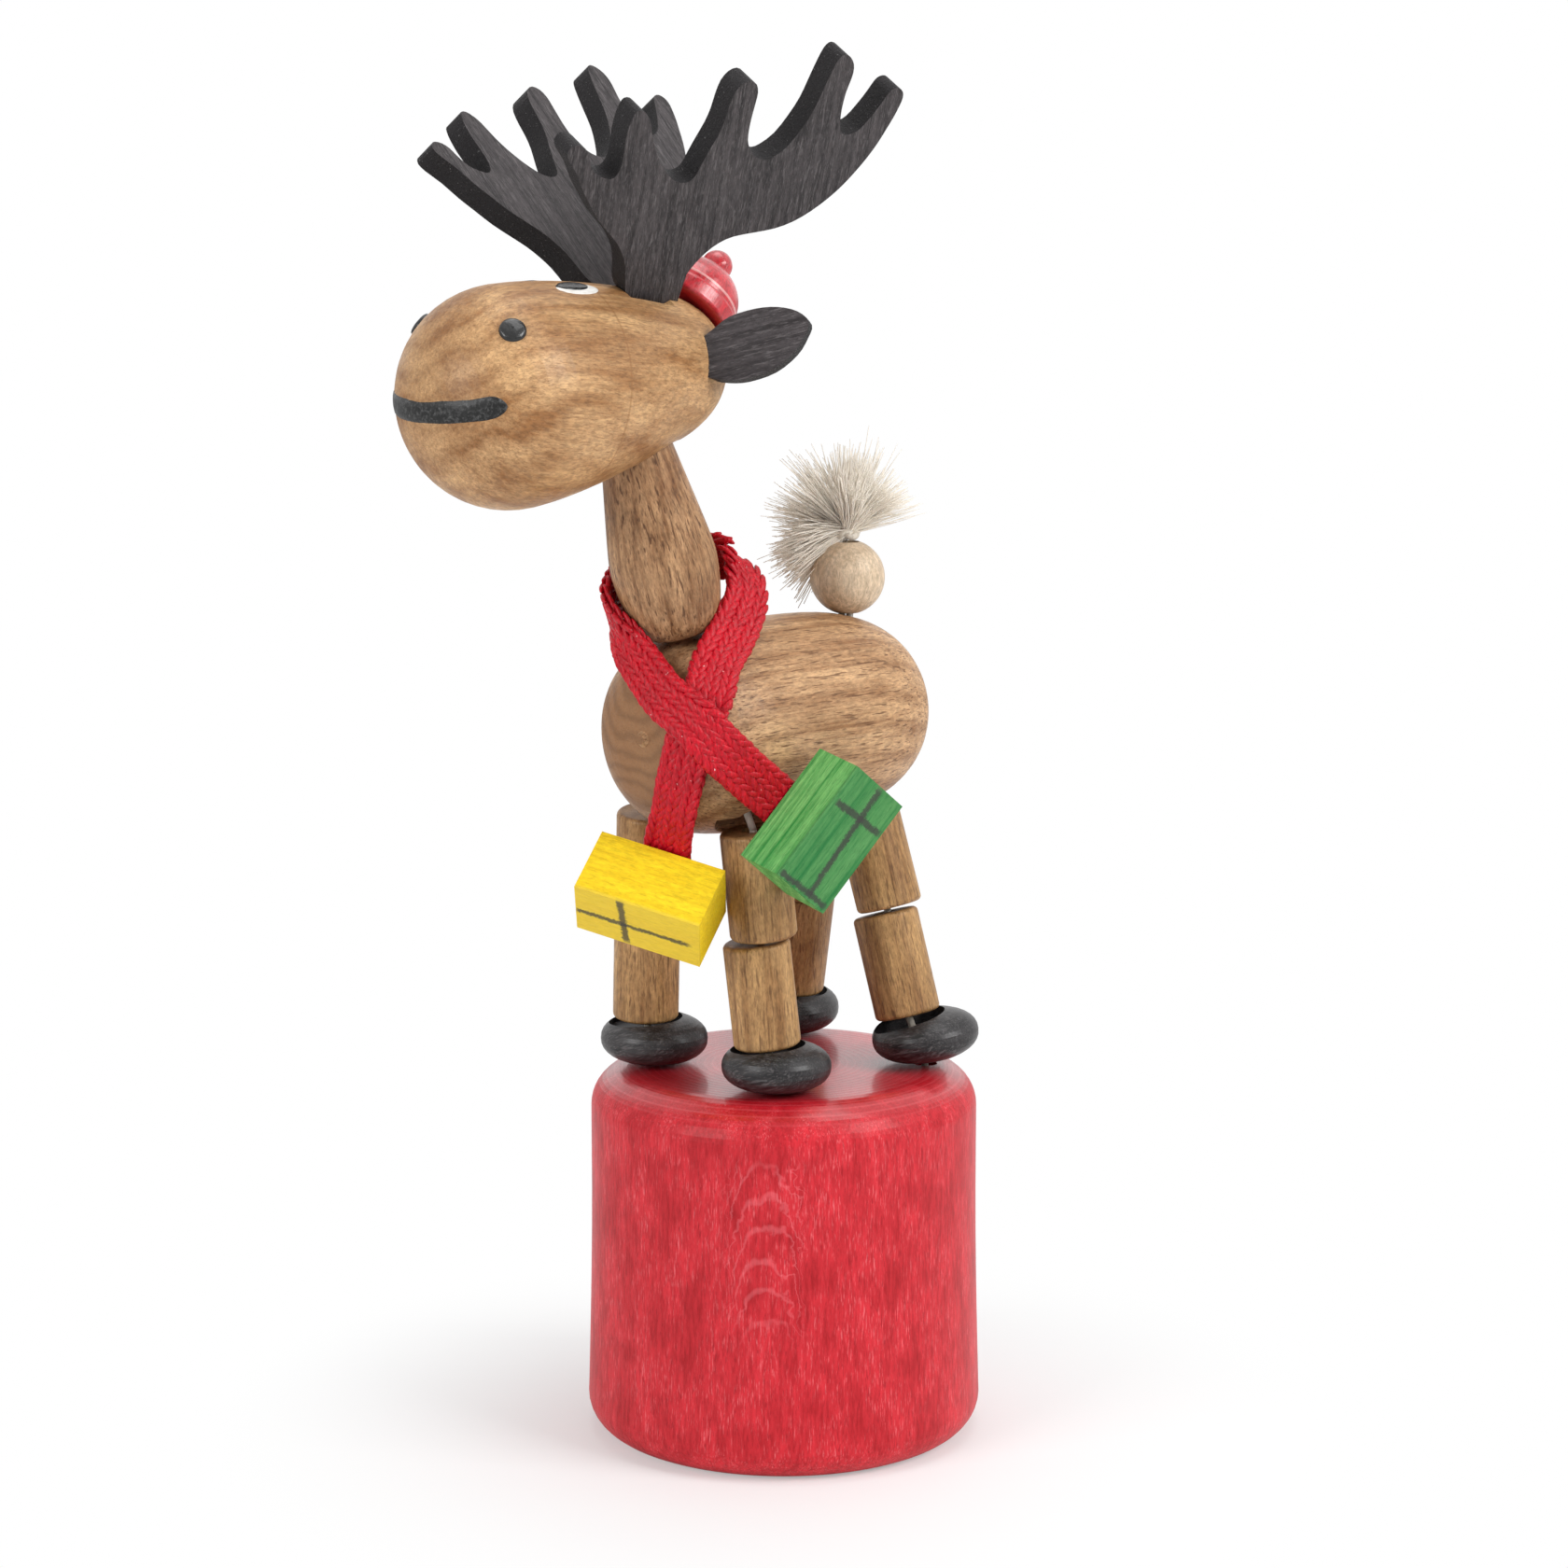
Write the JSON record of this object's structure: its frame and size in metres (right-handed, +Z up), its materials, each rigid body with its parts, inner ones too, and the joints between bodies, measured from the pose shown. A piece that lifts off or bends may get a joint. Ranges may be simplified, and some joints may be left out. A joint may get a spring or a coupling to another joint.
{
  "type": "wooden moose push puppet",
  "caption": "Wooden moose standing on a round red base. Pressing the button under the base slackens its threads, so that the legs fold and the head nods.",
  "frame": {"origin": "middle of the face that the base stands on", "axes": "+Z up, -Y towards the moose's face, +X towards the moose's left side"},
  "size_m": [0.0335, 0.0538, 0.1139],
  "materials": {
    "red_stained_wood": "gloss",
    "plain_wood": "satin",
    "black_stained_wood": "satin",
    "brown_stained_wood": "satin",
    "light_brown_wood": "satin",
    "yellow_stained_wood": "satin",
    "green_stained_wood": "satin",
    "cotton_thread": "matte",
    "red_braid": "matte",
    "spring_steel": "satin"
  },
  "bodies": {
    "base": {"base": "red_stained_wood", "button_spring": "spring_steel", "front_left_hoof": "black_stained_wood", "front_right_hoof": "black_stained_wood", "rear_left_hoof": "black_stained_wood", "rear_right_hoof": "black_stained_wood", "front_left_string": "cotton_thread", "front_right_string": "cotton_thread", "rear_left_string": "cotton_thread", "rear_right_string": "cotton_thread"},
    "button": {"press_button": "plain_wood"},
    "front_left_lower": {"front_left_lower_leg": "brown_stained_wood"},
    "front_right_lower": {"front_right_lower_leg": "brown_stained_wood"},
    "rear_left_lower": {"rear_left_lower_leg": "brown_stained_wood"},
    "rear_right_lower": {"rear_right_lower_leg": "brown_stained_wood"},
    "front_left_upper": {"front_left_upper_leg": "brown_stained_wood"},
    "front_right_upper": {"front_right_upper_leg": "brown_stained_wood"},
    "rear_left_upper": {"rear_left_upper_leg": "brown_stained_wood"},
    "rear_right_upper": {"rear_right_upper_leg": "brown_stained_wood"},
    "torso": {"body": "brown_stained_wood", "scarf": "red_braid"},
    "neck": {"neck": "brown_stained_wood"},
    "head": {"head": "light_brown_wood", "left_antler": "black_stained_wood", "right_antler": "black_stained_wood", "left_ear": "black_stained_wood", "right_ear": "black_stained_wood", "hat": "red_stained_wood"},
    "tail": {"tail_bead": "plain_wood", "tail_tuft": "cotton_thread"},
    "yellow_parcel": {"yellow_parcel": "yellow_stained_wood"},
    "green_parcel": {"green_parcel": "green_stained_wood"}
  },
  "joints": [
    {"name": "button_press", "type": "slide", "parent": "base", "child": "button", "axis": [0, 0, 1], "range_m": [0, 0.006], "stiffness_N_per_m": 300, "springref_m": -0.004, "deforming": ["button_spring", "front_left_string", "front_right_string", "rear_left_string", "rear_right_string"]},
    {"name": "front_left_ankle", "type": "hinge", "parent": "base", "child": "front_left_lower", "pos_m": [0.0059, -0.0075, 0.0347], "axis": [-0.9999, 0, -0.0169], "range_deg": [0, 24], "stiffness_Nm_per_rad": 0.095, "springref_deg": 0.2},
    {"name": "front_left_knee", "type": "hinge", "parent": "front_left_lower", "child": "front_left_upper", "pos_m": [0.00565, -0.01044, 0.04333], "axis": [0.9999, 0, 0.0169], "range_deg": [0, 48], "stiffness_Nm_per_rad": 0.074, "springref_deg": -0.13},
    {"name": "front_left_hip", "type": "hinge", "parent": "front_left_upper", "child": "torso", "pos_m": [0.0056, -0.0088, 0.05245], "axis": [-0.9999, 0, -0.0169], "range_deg": [0, 24], "stiffness_Nm_per_rad": 0.054, "springref_deg": 0.25},
    {"name": "front_right_ankle", "type": "hinge", "parent": "base", "child": "front_right_lower", "pos_m": [-0.0081, -0.0081, 0.0348], "axis": [-0.9943, 0, 0.1067], "range_deg": [0, 24], "stiffness_Nm_per_rad": 0.00057, "springref_deg": 0.08},
    {"name": "front_right_knee", "type": "hinge", "parent": "front_right_lower", "child": "front_right_upper", "pos_m": [-0.00747, -0.0107, 0.04346], "axis": [0.9943, 0, -0.1067], "range_deg": [0, 48], "stiffness_Nm_per_rad": 0.00016, "springref_deg": 0.58},
    {"name": "rear_left_ankle", "type": "hinge", "parent": "base", "child": "rear_left_lower", "pos_m": [0.0072, 0.0074, 0.035], "axis": [-0.9712, 0, -0.2384], "range_deg": [0, 24], "stiffness_Nm_per_rad": 0.00055, "springref_deg": 0.09},
    {"name": "rear_left_knee", "type": "hinge", "parent": "rear_left_lower", "child": "rear_left_upper", "pos_m": [0.00513, 0.00465, 0.04353], "axis": [0.9712, 0, 0.2384], "range_deg": [0, 48], "stiffness_Nm_per_rad": 0.00015, "springref_deg": 0.67},
    {"name": "rear_right_ankle", "type": "hinge", "parent": "base", "child": "rear_right_lower", "pos_m": [-0.0077, 0.0084, 0.0348], "axis": [-0.9649, 0, 0.2626], "range_deg": [0, 24], "stiffness_Nm_per_rad": 0.00058, "springref_deg": 0.12},
    {"name": "rear_right_knee", "type": "hinge", "parent": "rear_right_lower", "child": "rear_right_upper", "pos_m": [-0.00602, 0.00576, 0.04335], "axis": [0.9649, 0, -0.2626], "range_deg": [0, 48], "stiffness_Nm_per_rad": 0.00016, "springref_deg": 0.42},
    {"name": "neck_tip", "type": "hinge", "parent": "torso", "child": "neck", "pos_m": [0, -0.0125, 0.0675], "axis": [1, 0, 0], "range_deg": [0, 25], "stiffness_Nm_per_rad": 0.028, "springref_deg": -0.8, "deforming": ["scarf"]},
    {"name": "head_nod", "type": "hinge", "parent": "neck", "child": "head", "pos_m": [0, -0.0184, 0.0811], "axis": [1, 0, 0], "range_deg": [0, 25], "stiffness_Nm_per_rad": 0.012, "springref_deg": -0.66},
    {"name": "tail_tip", "type": "hinge", "parent": "torso", "child": "tail", "pos_m": [0, 0.0082, 0.0677], "axis": [-1, 0, 0], "range_deg": [0, 20], "stiffness_Nm_per_rad": 0.00023, "springref_deg": 0.25},
    {"name": "yellow_parcel_swing", "type": "hinge", "parent": "torso", "child": "yellow_parcel", "pos_m": [0.0026, -0.0157, 0.05125], "axis": [-0.833, -0.493, 0.251], "range_deg": [0, 15], "stiffness_Nm_per_rad": 0.00002, "springref_deg": -11.46},
    {"name": "green_parcel_swing", "type": "hinge", "parent": "torso", "child": "green_parcel", "pos_m": [0.0094, -0.00945, 0.0553], "axis": [-0.2289, -0.6037, -0.7636], "range_deg": [0, 15], "stiffness_Nm_per_rad": 0.00002, "springref_deg": -11.46}
  ],
  "couplings": [
    {"joint": "front_left_ankle", "follows": "button_press", "rad_per_m": 69.81},
    {"joint": "front_left_knee", "follows": "button_press", "rad_per_m": 139.62},
    {"joint": "front_left_hip", "follows": "button_press", "rad_per_m": 69.81},
    {"joint": "front_right_ankle", "follows": "button_press", "rad_per_m": 69.81},
    {"joint": "front_right_knee", "follows": "button_press", "rad_per_m": 139.62},
    {"joint": "rear_left_ankle", "follows": "button_press", "rad_per_m": 69.81},
    {"joint": "rear_left_knee", "follows": "button_press", "rad_per_m": 139.62},
    {"joint": "rear_right_ankle", "follows": "button_press", "rad_per_m": 69.81},
    {"joint": "rear_right_knee", "follows": "button_press", "rad_per_m": 139.62},
    {"joint": "neck_tip", "follows": "button_press", "rad_per_m": 72.72},
    {"joint": "head_nod", "follows": "button_press", "rad_per_m": 72.72},
    {"joint": "tail_tip", "follows": "button_press", "rad_per_m": 58.17}
  ]
}
